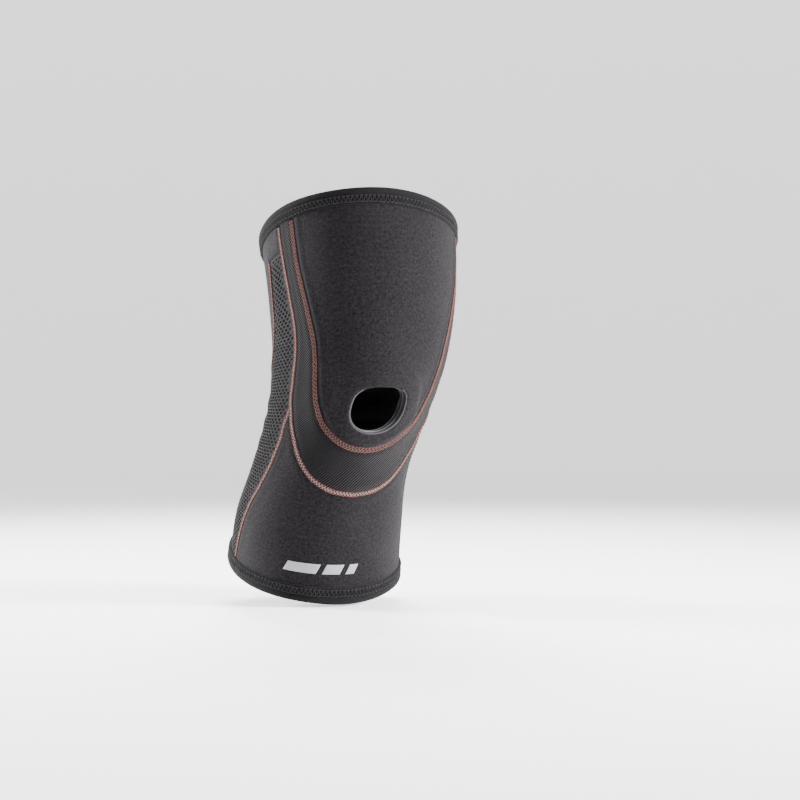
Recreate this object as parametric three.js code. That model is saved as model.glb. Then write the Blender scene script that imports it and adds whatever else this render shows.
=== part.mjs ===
// Open patella knee sleeve, worn shape of a right knee bent about 42 degrees.
// Millimetres, +Z up, the kneecap faces -Y, the outer side of the leg is -X.
// The origin is the bending axis of the knee on the middle line of the leg.
import * as THREE from "three";

// ---- driving dimensions ---------------------------------------------------
const TOP = 133;              // height of the middle of the thigh hem
const BOTTOM = -112;          // height of the middle of the calf hem
const SHEET = 3.5;            // neoprene laminate
const SEAM_GAP = 0.4;         // clear line between two butted panels
const BIND_REACH = 9.5;       // how far the hem binding reaches down the face
const BIND_WALL = 1.1;        // one leg of the folded binding
const EDGE_BACK = 2.0;        // panel edge to the crown of the binding
const STITCH_WIDE = 3.4;      // cover stitch, both needle rows
const STITCH_NARROW = 2.8;
const STITCH_LIFT = 0.3;      // clear height of a thread row over the face
const STITCH_THICK = 0.5;
const HOLE_PHI = 0.5;         // middle of the kneecap opening, degrees from the front
const HOLE_V = 5;
const HOLE_HALF_PHI = 19.5;
const HOLE_UP = 12.4;
const HOLE_DOWN = 14.2;
const PAD_WALL = 3.8;         // foam ring behind the opening
const PAD_BORDER = 15;
const ARM_TOP = 106;          // upper end of the two mesh arms
const JUNCTION = 4;           // where the shin seams leave the band
const MARK_V = -94;            // lower edge of the transfer bars
const MARK_TALL = 6;
const STEPS_A = 48;           // segments along the band
const STEPS_C = 14;
const STEPS_D = 32;
const STEPS_HEM = 18;
const STEPS_RING = 64;

// Stations of the worn tube, from calf to thigh. Each one gives the height,
// the middle (x, y), how the section leans (per mm to the side, per mm to the
// back), the half width and the depths to the front and to the back.
const STATIONS = [
  { v: -112, cx: -10, cy: 46, sx: 0, sy: 0.36, a: 62.5, f: 60, b: 66 },
  { v: -75, cx: -12, cy: 28, sx: 0, sy: 0.26, a: 60.5, f: 58, b: 62 },
  { v: -35, cx: -10, cy: 8, sx: 0, sy: 0.12, a: 55.5, f: 57, b: 57 },
  { v: 5, cx: 0, cy: -3, sx: 0, sy: 0, a: 58, f: 60, b: 58 },
  { v: 40, cx: 9, cy: -1, sx: -0.02, sy: -0.1, a: 62.5, f: 64, b: 62 },
  { v: 84, cx: 14, cy: 8, sx: -0.05, sy: -0.24, a: 67.5, f: 68, b: 70 },
  { v: 133, cx: 17, cy: 24, sx: -0.07, sy: -0.36, a: 71.5, f: 71, b: 76 },
];

// Seam lines as [degrees from the front, height]. The band and its two edges
// are mirrored about the front line.
const SEAM_A = [[62, 133], [62, 112], [61, 93], [58.5, 79], [54.5, 61], [51, 46], [49, 33],
  [46.5, 17], [43, 7], [37.5, -2], [30, -9], [20, -15], [10, -18.4], [0, -19.5]];
const SEAM_B = [[73, 133], [73.5, 112], [72, 93], [69, 72], [66, 54], [65.5, 40], [66, 24],
  [65, 10], [62, 0], [57, -9.5], [51, -19], [42, -29.5], [31, -38], [16, -44], [0, -46]];
const SEAM_C = [[65.6, 4], [66.5, -6], [67, -16], [69, -29], [74, -45], [80, -61], [84, -81],
  [86.5, -97], [87, -112]];
const SEAM_D = [[91, 106], [92, 84], [93, 62], [98, 47], [109, 33], [126, 22], [150, 15], [180, 13]];

const RAD = Math.PI / 180;

// ---- small tools ----------------------------------------------------------
function mix(a, b, t) {
  return a + (b - a) * t;
}

function mix2(p, q, t) {
  return [mix(p[0], q[0], t), mix(p[1], q[1], t)];
}

function slopeAt(i, key) {
  const lo = STATIONS[Math.max(i - 1, 0)];
  const hi = STATIONS[Math.min(i + 1, STATIONS.length - 1)];
  return (hi[key] - lo[key]) / (hi.v - lo.v);
}

function station(v, key) {
  let i = 0;
  while (i < STATIONS.length - 2 && v > STATIONS[i + 1].v) i += 1;
  const s = STATIONS[i];
  const e = STATIONS[i + 1];
  const h = e.v - s.v;
  const t = (v - s.v) / h;
  const t2 = t * t;
  const t3 = t2 * t;
  const from = (2 * t3 - 3 * t2 + 1) * s[key] + (t3 - 2 * t2 + t) * h * slopeAt(i, key);
  const to = (3 * t2 - 2 * t3) * e[key] + (t3 - t2) * h * slopeAt(i + 1, key);
  return from + to;
}

// The kneecap pushes the front of the sleeve out a little.
function kneecap(phi, v) {
  const across = (phi - HOLE_PHI) / 30;
  const along = (v - HOLE_V) / 30;
  return 3 * Math.exp(-across * across - along * along);
}

function facePoint(phi, v) {
  const turn = phi * RAD;
  const c = Math.cos(turn);
  const reach = c > 0 ? station(v, "f") + kneecap(phi, v) * c : station(v, "b");
  const dx = station(v, "a") * Math.sin(turn);
  const dy = -reach * c;
  const z = v + station(v, "sx") * dx + station(v, "sy") * dy;
  return new THREE.Vector3(station(v, "cx") + dx, station(v, "cy") + dy, z);
}

function faceNormal(phi, v) {
  const along = facePoint(phi, v + 1).sub(facePoint(phi, v - 1));
  const around = facePoint(phi + 1, v).sub(facePoint(phi - 1, v));
  return around.cross(along).normalize();
}

// A point at a signed distance outside the outer face.
function lifted(p, out) {
  return facePoint(p[0], p[1]).addScaledVector(faceNormal(p[0], p[1]), out);
}

function mmPerDegree(v) {
  return station(v, "a") * RAD;
}

function flat(p) {
  return [p[0] * mmPerDegree(p[1]), p[1]];
}

// ---- curves in the unrolled face ------------------------------------------
function spline(points) {
  const list = points.map((p) => new THREE.Vector3(p[0], p[1], 0));
  return new THREE.CatmullRomCurve3(list, false, "centripetal");
}

function sample(points, steps) {
  const curve = spline(points);
  curve.arcLengthDivisions = 400;
  return curve.getSpacedPoints(steps).map((p) => [p.x, p.y]);
}

function mirrored(points) {
  const left = points.map((p) => [-p[0], p[1]]);
  const right = points.slice(0, -1).reverse();
  return left.concat(right);
}

function line(p, q, steps) {
  const out = [];
  for (let i = 0; i <= steps; i += 1) out.push(mix2(p, q, i / steps));
  return out;
}

function join(...runs) {
  const out = [];
  for (const run of runs) {
    for (const p of run) {
      const last = out[out.length - 1];
      if (!last || Math.hypot(last[0] - p[0], last[1] - p[1]) > 1e-6) out.push(p);
    }
  }
  return out;
}

function leftNormal(p, q) {
  const a = flat(p);
  const b = flat(q);
  const dx = b[0] - a[0];
  const dy = b[1] - a[1];
  const len = Math.hypot(dx, dy) || 1;
  return [-dy / len, dx / len];
}

// Moves a closed outline inwards; the outline runs anticlockwise when seen
// with the angle to the right and the height up.
function inset(loop, distance) {
  const n = loop.length;
  return loop.map((p, i) => {
    const before = leftNormal(loop[(i + n - 1) % n], p);
    const after = leftNormal(p, loop[(i + 1) % n]);
    const sum = [before[0] + after[0], before[1] + after[1]];
    const size = sum[0] * sum[0] + sum[1] * sum[1];
    const gain = Math.min(2 / Math.max(size, 0.02), 8) * distance;
    return [p[0] + (sum[0] * gain) / mmPerDegree(p[1]), p[1] + sum[1] * gain];
  });
}

// ---- solids ---------------------------------------------------------------
function finish(name, positions, faces, look) {
  const geometry = new THREE.BufferGeometry();
  const flatList = positions.flatMap((p) => [p.x, p.y, p.z]);
  geometry.setAttribute("position", new THREE.Float32BufferAttribute(flatList, 3));
  geometry.setIndex(faces);
  geometry.computeVertexNormals();
  const material = new THREE.MeshStandardMaterial({ color: look.color, roughness: look.rough });
  material.name = look.slot;
  const mesh = new THREE.Mesh(geometry, material);
  mesh.name = name;
  return mesh;
}

// A sheet made of rows of unrolled points; `ring` closes it round.
function shell(name, rows, out, inn, ring, look) {
  const high = rows.length;
  const wide = rows[0].length;
  const positions = [];
  for (const depth of [out, inn]) {
    for (const row of rows) {
      for (const p of row) positions.push(lifted(p, depth));
    }
  }
  const size = high * wide;
  const at = (side, r, c) => side * size + r * wide + (c % wide);
  const faces = [];
  const quad = (a, b, c, d) => faces.push(a, b, c, a, c, d);
  const last = ring ? wide : wide - 1;
  for (let r = 0; r < high - 1; r += 1) {
    for (let c = 0; c < last; c += 1) {
      quad(at(0, r, c), at(0, r, c + 1), at(0, r + 1, c + 1), at(0, r + 1, c));
      quad(at(1, r, c), at(1, r + 1, c), at(1, r + 1, c + 1), at(1, r, c + 1));
    }
  }
  for (let c = 0; c < last; c += 1) {
    quad(at(0, 0, c), at(1, 0, c), at(1, 0, c + 1), at(0, 0, c + 1));
    quad(at(0, high - 1, c), at(0, high - 1, c + 1), at(1, high - 1, c + 1), at(1, high - 1, c));
  }
  if (!ring) {
    for (let r = 0; r < high - 1; r += 1) {
      quad(at(0, r, 0), at(0, r + 1, 0), at(1, r + 1, 0), at(1, r, 0));
      quad(at(0, r, wide - 1), at(1, r, wide - 1), at(1, r + 1, wide - 1), at(0, r + 1, wide - 1));
    }
  }
  return finish(name, positions, faces, look);
}

function ruled(low, high, count) {
  const rows = [];
  for (let r = 0; r <= count; r += 1) {
    rows.push(low.map((p, i) => mix2(p, high[i], r / count)));
  }
  return rows;
}

// A patch between four sides: low and high run across, left and right run up.
function coons(low, high, left, right) {
  const rows = [];
  const across = low.length - 1;
  const up = left.length - 1;
  for (let r = 0; r <= up; r += 1) {
    const t = r / up;
    rows.push(low.map((p, c) => {
      const s = c / across;
      return [0, 1].map((k) => {
        const ruledUp = mix(p[k], high[c][k], t);
        const ruledOver = mix(left[r][k], right[r][k], s);
        const base = mix(mix(low[0][k], low[across][k], s), mix(high[0][k], high[across][k], s), t);
        return ruledUp + ruledOver - base;
      });
    }));
  }
  return rows;
}

// A flat ribbon of thread laid along a seam line.
function ribbon(name, path, width, lift, look) {
  const side = (shift) => path.map((p, i) => {
    const n = leftNormal(path[Math.max(i - 1, 0)], path[Math.min(i + 1, path.length - 1)]);
    return [p[0] + (n[0] * shift) / mmPerDegree(p[1]), p[1] + n[1] * shift];
  });
  const rows = [side(-width / 2), side(width / 2)];
  return shell(name, rows, lift + STITCH_THICK, lift, false, look);
}

// A ring whose cross-section is given as [distance outside the face, rise].
function hemRing(name, v0, upward, section, look) {
  const positions = [];
  const count = section.length;
  for (let i = 0; i < STEPS_RING; i += 1) {
    const phi = -180 + (360 * i) / STEPS_RING;
    for (const [out, rise] of section) positions.push(lifted([phi, v0 + upward * rise], out));
  }
  const faces = [];
  for (let i = 0; i < STEPS_RING; i += 1) {
    const next = (i + 1) % STEPS_RING;
    for (let k = 0; k < count; k += 1) {
      const kk = (k + 1) % count;
      const ring = [i * count + k, next * count + k, next * count + kk, i * count + kk];
      if (upward > 0) faces.push(ring[0], ring[1], ring[2], ring[0], ring[2], ring[3]);
      else faces.push(ring[0], ring[2], ring[1], ring[0], ring[3], ring[2]);
    }
  }
  return finish(name, positions, faces, look);
}

function holeEdge(turn, grow) {
  const c = Math.cos(turn);
  const s = Math.sin(turn);
  const power = s > 0 ? 3 : 2.1;
  const reach = (Math.abs(c) ** power + Math.abs(s) ** power) ** (-1 / power);
  const wide = HOLE_HALF_PHI + grow / mmPerDegree(HOLE_V);
  const tall = (s > 0 ? HOLE_UP : HOLE_DOWN) + grow;
  return [HOLE_PHI + wide * reach * c, HOLE_V + tall * reach * s];
}

// ---- materials ------------------------------------------------------------
const NEOPRENE = { slot: "neoprene_face", color: 0x2b292c, rough: 0.92 };
const RIB = { slot: "twill_knit", color: 0x38353a, rough: 0.88 };
const MESH = { slot: "air_mesh", color: 0x333135, rough: 0.9 };
const FOAM = { slot: "neoprene_core", color: 0x17161a, rough: 0.85 };
const TAPE = { slot: "binding_tape", color: 0x2a282c, rough: 0.85 };
const CORAL = { slot: "coral_thread", color: 0xb07068, rough: 0.7 };
const GREY = { slot: "grey_thread", color: 0x4a474d, rough: 0.75 };
const PRINT = { slot: "transfer_print", color: 0xc9c7cb, rough: 0.6 };

// ---- outlines -------------------------------------------------------------
const lineA = sample(mirrored(SEAM_A), STEPS_A);
const lineB = sample(mirrored(SEAM_B), STEPS_A);
const nearest = (list, v) => {
  const half = list.slice(0, Math.floor(list.length / 2));
  const gaps = half.map((p) => Math.abs(p[1] - v));
  return gaps.indexOf(Math.min(...gaps));
};
const atJunction = nearest(lineB, JUNCTION);
const atArm = nearest(lineB, ARM_TOP);
const junction = lineB[atJunction];
const armTop = lineB[atArm];
const seamC = [[-junction[0], junction[1]]].concat(SEAM_C.slice(1));
const lineC = sample(seamC.map((p) => [-p[0], p[1]]), STEPS_C);
const seamD = [[SEAM_D[0][0], armTop[1]]].concat(SEAM_D.slice(1));
const lineD = sample(seamD.map((p) => [-p[0], p[1]]), STEPS_D / 2);
const wrap = (p) => [-360 - p[0], p[1]];
const lineDFull = lineD.concat(lineD.slice(0, -1).reverse().map(wrap));
const hemV = TOP - EDGE_BACK;
const calfV = BOTTOM + EDGE_BACK;

// Trims a seam line where the panel meets its hem.
function clipTop(p) {
  return [p[0], Math.min(Math.max(p[1], calfV), hemV)];
}

function frontThighPanel() {
  const seam = lineA.map(clipTop);
  const hem = line(seam[STEPS_A], seam[0], STEPS_HEM);
  const loop = inset(seam.concat(hem.slice(1, -1)), SEAM_GAP / 2);
  const hole = loop.map((p) => {
    const start = Math.atan2(p[1] - HOLE_V, (p[0] - HOLE_PHI) * mmPerDegree(HOLE_V));
    return holeEdge(Math.atan2(Math.sin(start), Math.cos(start)), 0);
  });
  const rows = [0, 0.14, 0.3, 0.46, 0.62, 0.78, 0.9, 1].map((t) => hole.map((p, i) => mix2(p, loop[i], t)));
  return shell("front_thigh_panel", rows.reverse(), 0, -SHEET, true, NEOPRENE);
}

function patellaBand() {
  const low = lineB.map(clipTop);
  const high = lineA.map(clipTop);
  const loop = inset(low.concat(high.slice().reverse()), SEAM_GAP / 2);
  const outer = loop.slice(0, STEPS_A + 1);
  const inner = loop.slice(STEPS_A + 1).reverse();
  return shell("patella_band", ruled(outer, inner, 3), 0, -SHEET, false, RIB);
}

function shinPanel() {
  const top = lineB.slice(atJunction, STEPS_A + 1 - atJunction);
  const left = lineC.map(clipTop);
  const right = left.map((p) => [-p[0], p[1]]);
  const low = line(left[STEPS_C], right[STEPS_C], top.length - 1);
  const loop = left.concat(low.slice(1, -1), right.slice().reverse(), top.slice(1, -1).reverse());
  const moved = inset(loop, SEAM_GAP / 2);
  const n = STEPS_C + 1;
  const m = low.length - 2;
  const newLeft = moved.slice(0, n);
  const newLow = [moved[n - 1], ...moved.slice(n, n + m), moved[n + m]];
  const newRight = moved.slice(n + m, n + m + n).reverse();
  const newTop = [moved[0], ...moved.slice(n + m + n).reverse(), newRight[0]];
  const rows = coons(newLow, newTop, newLeft.slice().reverse(), newRight.slice().reverse());
  return shell("shin_panel", rows, 0, -SHEET, false, NEOPRENE);
}

// Outer edge of the mesh panel, from one arm round the calf to the other.
function meshOuter() {
  const arm = lineB.slice(atArm, atJunction + 1);
  const side = join(arm, lineC).map(clipTop);
  const other = side.slice().reverse().map(wrap);
  const hem = line(side[side.length - 1], other[0], STEPS_HEM);
  return join(side, hem, other);
}

function respaced(points, steps, marks) {
  const cuts = [0, ...marks, points.length - 1];
  const counts = marks.length ? steps : [steps];
  const out = [];
  for (let i = 0; i < cuts.length - 1; i += 1) {
    const run = points.slice(cuts[i], cuts[i + 1] + 1);
    const path = new THREE.CurvePath();
    for (let k = 0; k < run.length - 1; k += 1) {
      const a = new THREE.Vector2(...run[k]);
      path.add(new THREE.LineCurve(a, new THREE.Vector2(...run[k + 1])));
    }
    for (const p of path.getSpacedPoints(counts[i])) out.push([p.x, p.y]);
  }
  return join(out);
}

function backMeshPanel() {
  const outer = meshOuter();
  const inner = lineDFull;
  const loop = inset(outer.concat(inner.slice().reverse()), -SEAM_GAP / 2);
  const low = loop.slice(0, outer.length);
  const high = loop.slice(outer.length).reverse();
  const side = (outer.length - 1 - STEPS_HEM) / 2;
  const turn = Math.round(STEPS_D * 0.36);
  const counts = [side, STEPS_HEM, side];
  const matched = respaced(high, counts, [turn, STEPS_D - turn]);
  return shell("back_mesh_panel", ruled(matched, low, 8), 0, -SHEET, false, MESH);
}

function rearThighPanel() {
  const wing = line(armTop, lineD[0], 2);
  const low = join(wing, lineDFull, wing.slice().reverse().map(wrap));
  const side = lineB.slice(0, atArm + 1).map(clipTop);
  const high = line(side[0], wrap(side[0]), low.length - 1);
  const right = side.slice().reverse();
  const left = right.map(wrap);
  const loop = low.slice().reverse().concat(right.slice(1), high.slice(1, -1), left.slice(1).reverse());
  const moved = inset(loop, SEAM_GAP / 2);
  const n = low.length;
  const k = right.length;
  const newLow = moved.slice(0, n);
  const newRight = moved.slice(n - 1, n - 1 + k);
  const newHigh = moved.slice(n - 2 + k, n - 2 + k + n);
  const newLeft = [moved[0], ...moved.slice(n - 2 + k + n).reverse(), newHigh[n - 1]].slice(0, k);
  newLeft[k - 1] = newHigh[n - 1];
  const rows = coons(newLow, newHigh.slice().reverse(), newLeft, newRight);
  return shell("rear_thigh_panel", rows, 0, -SHEET, false, NEOPRENE);
}

// Foam ring glued behind the opening.
function patellaPad() {
  const turns = 40;
  const edge = (grow) => {
    const out = [];
    for (let i = 0; i < turns; i += 1) out.push(holeEdge((2 * Math.PI * i) / turns, grow));
    return out;
  };
  const rows = [PAD_BORDER, PAD_BORDER * 0.5, 0.3].map(edge);
  const top = -SHEET - 0.35;
  return shell("patella_pad", rows, top, top - PAD_WALL, true, FOAM);
}

function binding(name, v0, upward) {
  const inner = -SHEET - 0.6;
  const section = [
    [0.35, -BIND_REACH],
    [0.35 + BIND_WALL, -BIND_REACH],
    [0.5 + BIND_WALL, -1],
    [0.2, 0.4],
    [inner + 0.3, 0.4],
    [inner - BIND_WALL, -1],
    [inner - BIND_WALL, -7],
    [inner, -7],
    [inner, 0.5 - EDGE_BACK],
    [0.35, 0.5 - EDGE_BACK],
  ];
  return hemRing(name, v0, upward, section, TAPE);
}

function hemStitch(name, v0, upward) {
  const low = 0.5 + BIND_WALL + STITCH_LIFT;
  const section = [[low, -8.8], [low + STITCH_THICK, -8.8], [low + STITCH_THICK, -4.2], [low, -4.2]];
  return hemRing(name, v0, upward, section, GREY);
}

// Keeps the part of a seam that is clear of both hem bindings.
function clearOfHems(path) {
  const high = TOP - BIND_REACH - 1.2;
  const low = BOTTOM + BIND_REACH + 1.2;
  const kept = [];
  path.forEach((p, i) => {
    const inside = p[1] < high && p[1] > low;
    const before = path[i - 1];
    if (before && (before[1] < high) !== (p[1] < high)) {
      kept.push(mix2(before, p, (high - before[1]) / (p[1] - before[1])));
    }
    if (before && (before[1] > low) !== (p[1] > low)) {
      kept.push(mix2(before, p, (low - before[1]) / (p[1] - before[1])));
    }
    if (inside) kept.push(p);
  });
  return kept;
}

function shinStitch(name, mirror) {
  const start = mix2(lineC[1], lineC[2], 0.15);
  const path = clearOfHems([start, ...lineC.slice(2)]);
  const run = mirror ? path.map((p) => [-p[0], p[1]]) : path;
  return ribbon(name, run, STITCH_NARROW, STITCH_LIFT, CORAL);
}

// One slanted bar of the plain heat-transfer mark.
function transferBar(name, phi, length) {
  const low = line([phi, MARK_V], [phi + length, MARK_V], 4);
  const high = low.map((p) => [p[0] + 3, p[1] + MARK_TALL]);
  return shell(name, ruled(low, high, 1), 0.5, 0.3, false, PRINT);
}

const model = new THREE.Group();
model.name = "knee_brace";
model.add(frontThighPanel());
model.add(patellaBand());
model.add(shinPanel());
model.add(backMeshPanel());
model.add(rearThighPanel());
model.add(patellaPad());
model.add(binding("binding_thigh", TOP, 1));
model.add(binding("binding_calf", BOTTOM, -1));
model.add(ribbon("stitch_band_inner", clearOfHems(lineA), STITCH_WIDE, STITCH_LIFT, CORAL));
model.add(ribbon("stitch_band_outer", clearOfHems(lineB), STITCH_NARROW, STITCH_LIFT, CORAL));
model.add(shinStitch("stitch_shin_lateral", false));
model.add(shinStitch("stitch_shin_medial", true));
model.add(ribbon("stitch_rear_thigh", lineDFull, STITCH_NARROW, 2 * STITCH_LIFT, CORAL));
model.add(hemStitch("stitch_hem_thigh", TOP, 1));
model.add(hemStitch("stitch_hem_calf", BOTTOM, -1));
model.add(transferBar("transfer_bar_long", -40, 22));
model.add(transferBar("transfer_bar_middle", -14, 12));
model.add(transferBar("transfer_bar_short", 2, 6));

export default model;
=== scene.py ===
import math

import bpy
import numpy as np
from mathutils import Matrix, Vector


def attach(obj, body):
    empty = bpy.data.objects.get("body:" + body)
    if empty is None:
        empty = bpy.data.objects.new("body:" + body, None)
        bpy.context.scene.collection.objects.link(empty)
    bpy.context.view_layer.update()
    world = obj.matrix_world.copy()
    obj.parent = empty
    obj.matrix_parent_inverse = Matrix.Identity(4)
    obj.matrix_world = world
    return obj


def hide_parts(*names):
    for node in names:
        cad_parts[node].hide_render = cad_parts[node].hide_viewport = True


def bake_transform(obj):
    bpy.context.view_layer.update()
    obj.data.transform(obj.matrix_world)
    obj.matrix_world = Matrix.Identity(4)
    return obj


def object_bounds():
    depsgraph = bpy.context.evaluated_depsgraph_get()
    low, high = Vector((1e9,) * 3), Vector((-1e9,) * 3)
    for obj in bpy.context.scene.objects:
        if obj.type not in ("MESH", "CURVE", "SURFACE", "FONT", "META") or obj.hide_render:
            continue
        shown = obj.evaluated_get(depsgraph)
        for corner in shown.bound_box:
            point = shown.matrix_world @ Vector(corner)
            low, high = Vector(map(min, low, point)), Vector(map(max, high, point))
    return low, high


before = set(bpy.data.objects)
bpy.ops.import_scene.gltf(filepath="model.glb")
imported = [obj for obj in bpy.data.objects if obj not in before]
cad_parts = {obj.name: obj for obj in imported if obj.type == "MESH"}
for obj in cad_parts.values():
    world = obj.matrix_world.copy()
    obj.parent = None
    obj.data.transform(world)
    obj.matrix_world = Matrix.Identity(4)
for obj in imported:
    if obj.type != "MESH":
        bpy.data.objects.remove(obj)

CAD_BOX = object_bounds()
MM = 0.001
RNG = np.random.default_rng(7)

# ---- the worn tube, in millimetres (the same numbers as part.mjs) -----------
TOP = 133.0
BOTTOM = -112.0
SHEET = 3.5
EDGE_BACK = 2.0
BIND_REACH = 9.5
MARK_V = -94.0
MARK_TALL = 6.0
HOLE = dict(phi=0.5, v=5.0, half=19.5, up=12.4, down=14.2)
STATIONS = np.array([
    # height, cx, cy, lean x, lean y, half width, front, rear
    [-112, -10, 46, 0, 0.36, 62.5, 60, 66],
    [-75, -12, 28, 0, 0.26, 60.5, 58, 62],
    [-35, -10, 8, 0, 0.12, 55.5, 57, 57],
    [5, 0, -3, 0, 0, 58, 60, 58],
    [40, 9, -1, -0.02, -0.1, 62.5, 64, 62],
    [84, 14, 8, -0.05, -0.24, 67.5, 68, 70],
    [133, 17, 24, -0.07, -0.36, 71.5, 71, 76],
])
SEAM_A = [(62, 133), (62, 112), (61, 93), (58.5, 79), (54.5, 61), (51, 46), (49, 33),
          (46.5, 17), (43, 7), (37.5, -2), (30, -9), (20, -15), (10, -18.4), (0, -19.5)]
SEAM_B = [(73, 133), (73.5, 112), (72, 93), (69, 72), (66, 54), (65.5, 40), (66, 24),
          (65, 10), (62, 0), (57, -9.5), (51, -19), (42, -29.5), (31, -38), (16, -44), (0, -46)]
SEAM_C = [(66.5, -6), (67, -16), (69, -29), (74, -45), (80, -61), (84, -81),
          (86.5, -97), (87, -112)]
SEAM_D = [(92, 84), (93, 62), (98, 47), (109, 33), (126, 22), (150, 15), (180, 13)]
JUNCTION = 8.0
ARM_TOP = 106.0
PAD_WALL = 3.8
PAD_BORDER = 15.0
BAR_SLANT = 3.0
HEM_STITCH = 6.5
HOLE_STEPS = 160

# ---- camera and stage, in metres and degrees --------------------------------
CAMERA_TURN = 21
CAMERA_DISTANCE = 1.282
CAMERA_AIM = (0.038, 0.011)
FLOOR_GAP = 0.002
FLOOR_REACH = 3.2
COVE_RADIUS = 1.3
WALL_HEIGHT = 5.0
FLOOR_GLOW = 0.5
WORLD_GLOW = 0.45
STAGE_SIDES = 96


def station(v, col):
    """One column of STATIONS at height v, on a smooth cubic through the rows."""
    v = np.asarray(v, float)
    z = STATIONS[:, 0]
    y = STATIONS[:, col]
    slope = np.empty_like(y)
    slope[1:-1] = (y[2:] - y[:-2]) / (z[2:] - z[:-2])
    slope[0] = (y[1] - y[0]) / (z[1] - z[0])
    slope[-1] = (y[-1] - y[-2]) / (z[-1] - z[-2])
    i = np.clip(np.searchsorted(z, v) - 1, 0, len(z) - 2)
    h = z[i + 1] - z[i]
    t = (v - z[i]) / h
    t2, t3 = t * t, t * t * t
    low = (2 * t3 - 3 * t2 + 1) * y[i] + (t3 - 2 * t2 + t) * h * slope[i]
    return low + (3 * t2 - 2 * t3) * y[i + 1] + (t3 - t2) * h * slope[i + 1]


def bell(x, width):
    return np.exp(-(x / width) ** 2)


# each crease: height, depth, half width
CREASES = ((28, 1.3, 3.6), (15, 2.4, 4.0), (1, 3.0, 4.2), (-13, 2.2, 4.0), (-27, 1.2, 4.5))


def rear_folds(phi, v):
    """Creases across the hollow of the knee and soft ones beside it."""
    back = np.abs((phi + 180) % 360 - 180)
    hollow = 1 / (1 + np.exp(-(back - 118) / 9))
    wander = 3 * np.sin(np.radians(phi * 2.3)) + 2 * np.sin(np.radians(phi * 5 + 40))
    folds = 0
    for at, deep, wide in CREASES:
        folds = folds - deep * bell(v - at - wander, wide)
    return hollow * (folds + 2.6 * bell(v - 2, 34))


def softness(phi, v):
    """Slow unevenness of a sheet that is stretched over a leg."""
    a = np.sin(np.radians(phi * 3 + 20) + v / 31) * 0.22
    b = np.sin(np.radians(phi * 7 - 50) - v / 17) * 0.10
    side = bell((np.abs((phi + 180) % 360 - 180) - 60), 16) * bell(v + 2, 20)
    pull = 0.35 * np.sin(v / 2.9 + np.radians(phi * 2.2)) * side
    return a + b + pull


def face(phi, v):
    """Point on the outer face, phi degrees round from the front at height v."""
    c = np.cos(np.radians(phi))
    s = np.sin(np.radians(phi))
    cap = 3 * bell(phi - HOLE["phi"], 30) * bell(v - HOLE["v"], 30)
    reach = np.where(c > 0, station(v, 6) + cap * c, station(v, 7))
    extra = rear_folds(phi, v) + softness(phi, v)
    reach = reach + extra
    dx = (station(v, 5) + extra) * s
    dy = -reach * c
    z = v + station(v, 3) * dx + station(v, 4) * dy
    return np.stack([station(v, 1) + dx, station(v, 2) + dy, z], axis=-1)


def normal(phi, v):
    along = face(phi, v + 0.6) - face(phi, v - 0.6)
    around = face(phi + 0.6, v) - face(phi - 0.6, v)
    n = np.cross(around, along)
    return n / np.linalg.norm(n, axis=-1, keepdims=True)


def lifted(phi, v, out):
    """Point that stands out from the face, or inside it where out is negative."""
    return face(phi, v) + normal(phi, v) * np.asarray(out)[..., None]


def per_degree(v):
    """Millimetres of cloth for one degree round the tube."""
    return station(v, 5) * math.pi / 180


def flat(points):
    """(degrees, height) to millimetres on the unrolled cloth."""
    points = np.asarray(points, float)
    return np.stack([points[..., 0] * per_degree(points[..., 1]), points[..., 1]], axis=-1)


# ---- curves on the unrolled face --------------------------------------------
def respace(points, steps):
    """The same line in equal steps."""
    points = np.asarray(points, float)
    f = flat(points)
    s = np.concatenate([[0], np.cumsum(np.linalg.norm(np.diff(f, axis=0), axis=1))])
    at = np.linspace(0, s[-1], steps + 1)
    return np.stack([np.interp(at, s, points[:, 0]), np.interp(at, s, points[:, 1])], axis=-1)


def spline(points, fine=24):
    """A centripetal curve through the points."""
    p = np.asarray(points, float)
    p = np.concatenate([[2 * p[0] - p[1]], p, [2 * p[-1] - p[-2]]])
    out = []
    t = np.linspace(0, 1, fine, endpoint=False)[:, None]
    for i in range(1, len(p) - 2):
        a, b, c, d = p[i - 1:i + 3]
        h0, h1, h2 = (max(np.sum((y - x) ** 2), 1e-9) ** 0.25 for x, y in ((a, b), (b, c), (c, d)))
        m1 = ((b - a) / h0 - (c - a) / (h0 + h1) + (c - b) / h1) * h1
        m2 = ((c - b) / h1 - (d - b) / (h1 + h2) + (d - c) / h2) * h1
        out.append((2 * t**3 - 3 * t**2 + 1) * b + (t**3 - 2 * t**2 + t) * m1
                   + (3 * t**2 - 2 * t**3) * c + (t**3 - t**2) * m2)
    out.append(p[-2][None])
    return np.concatenate(out)


def mirror(points):
    """The same line on the other side of the front."""
    return np.asarray(points) * [-1, 1]


def wrap(points):
    """The mirrored line, with its degrees counted on round the back."""
    return np.asarray(points) * [-1, 1] + [-360, 0]


def both_sides(points):
    right = spline(points)
    return np.concatenate([mirror(right), right[::-1][1:]])


def cut(points):
    """The part of a seam between the two hem edges, its ends exactly on them."""
    low, high = BOTTOM + EDGE_BACK, TOP - EDGE_BACK
    fine = respace(points, 4000)
    return fine[(fine[:, 1] <= high + 1e-6) & (fine[:, 1] >= low - 1e-6)]


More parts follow.
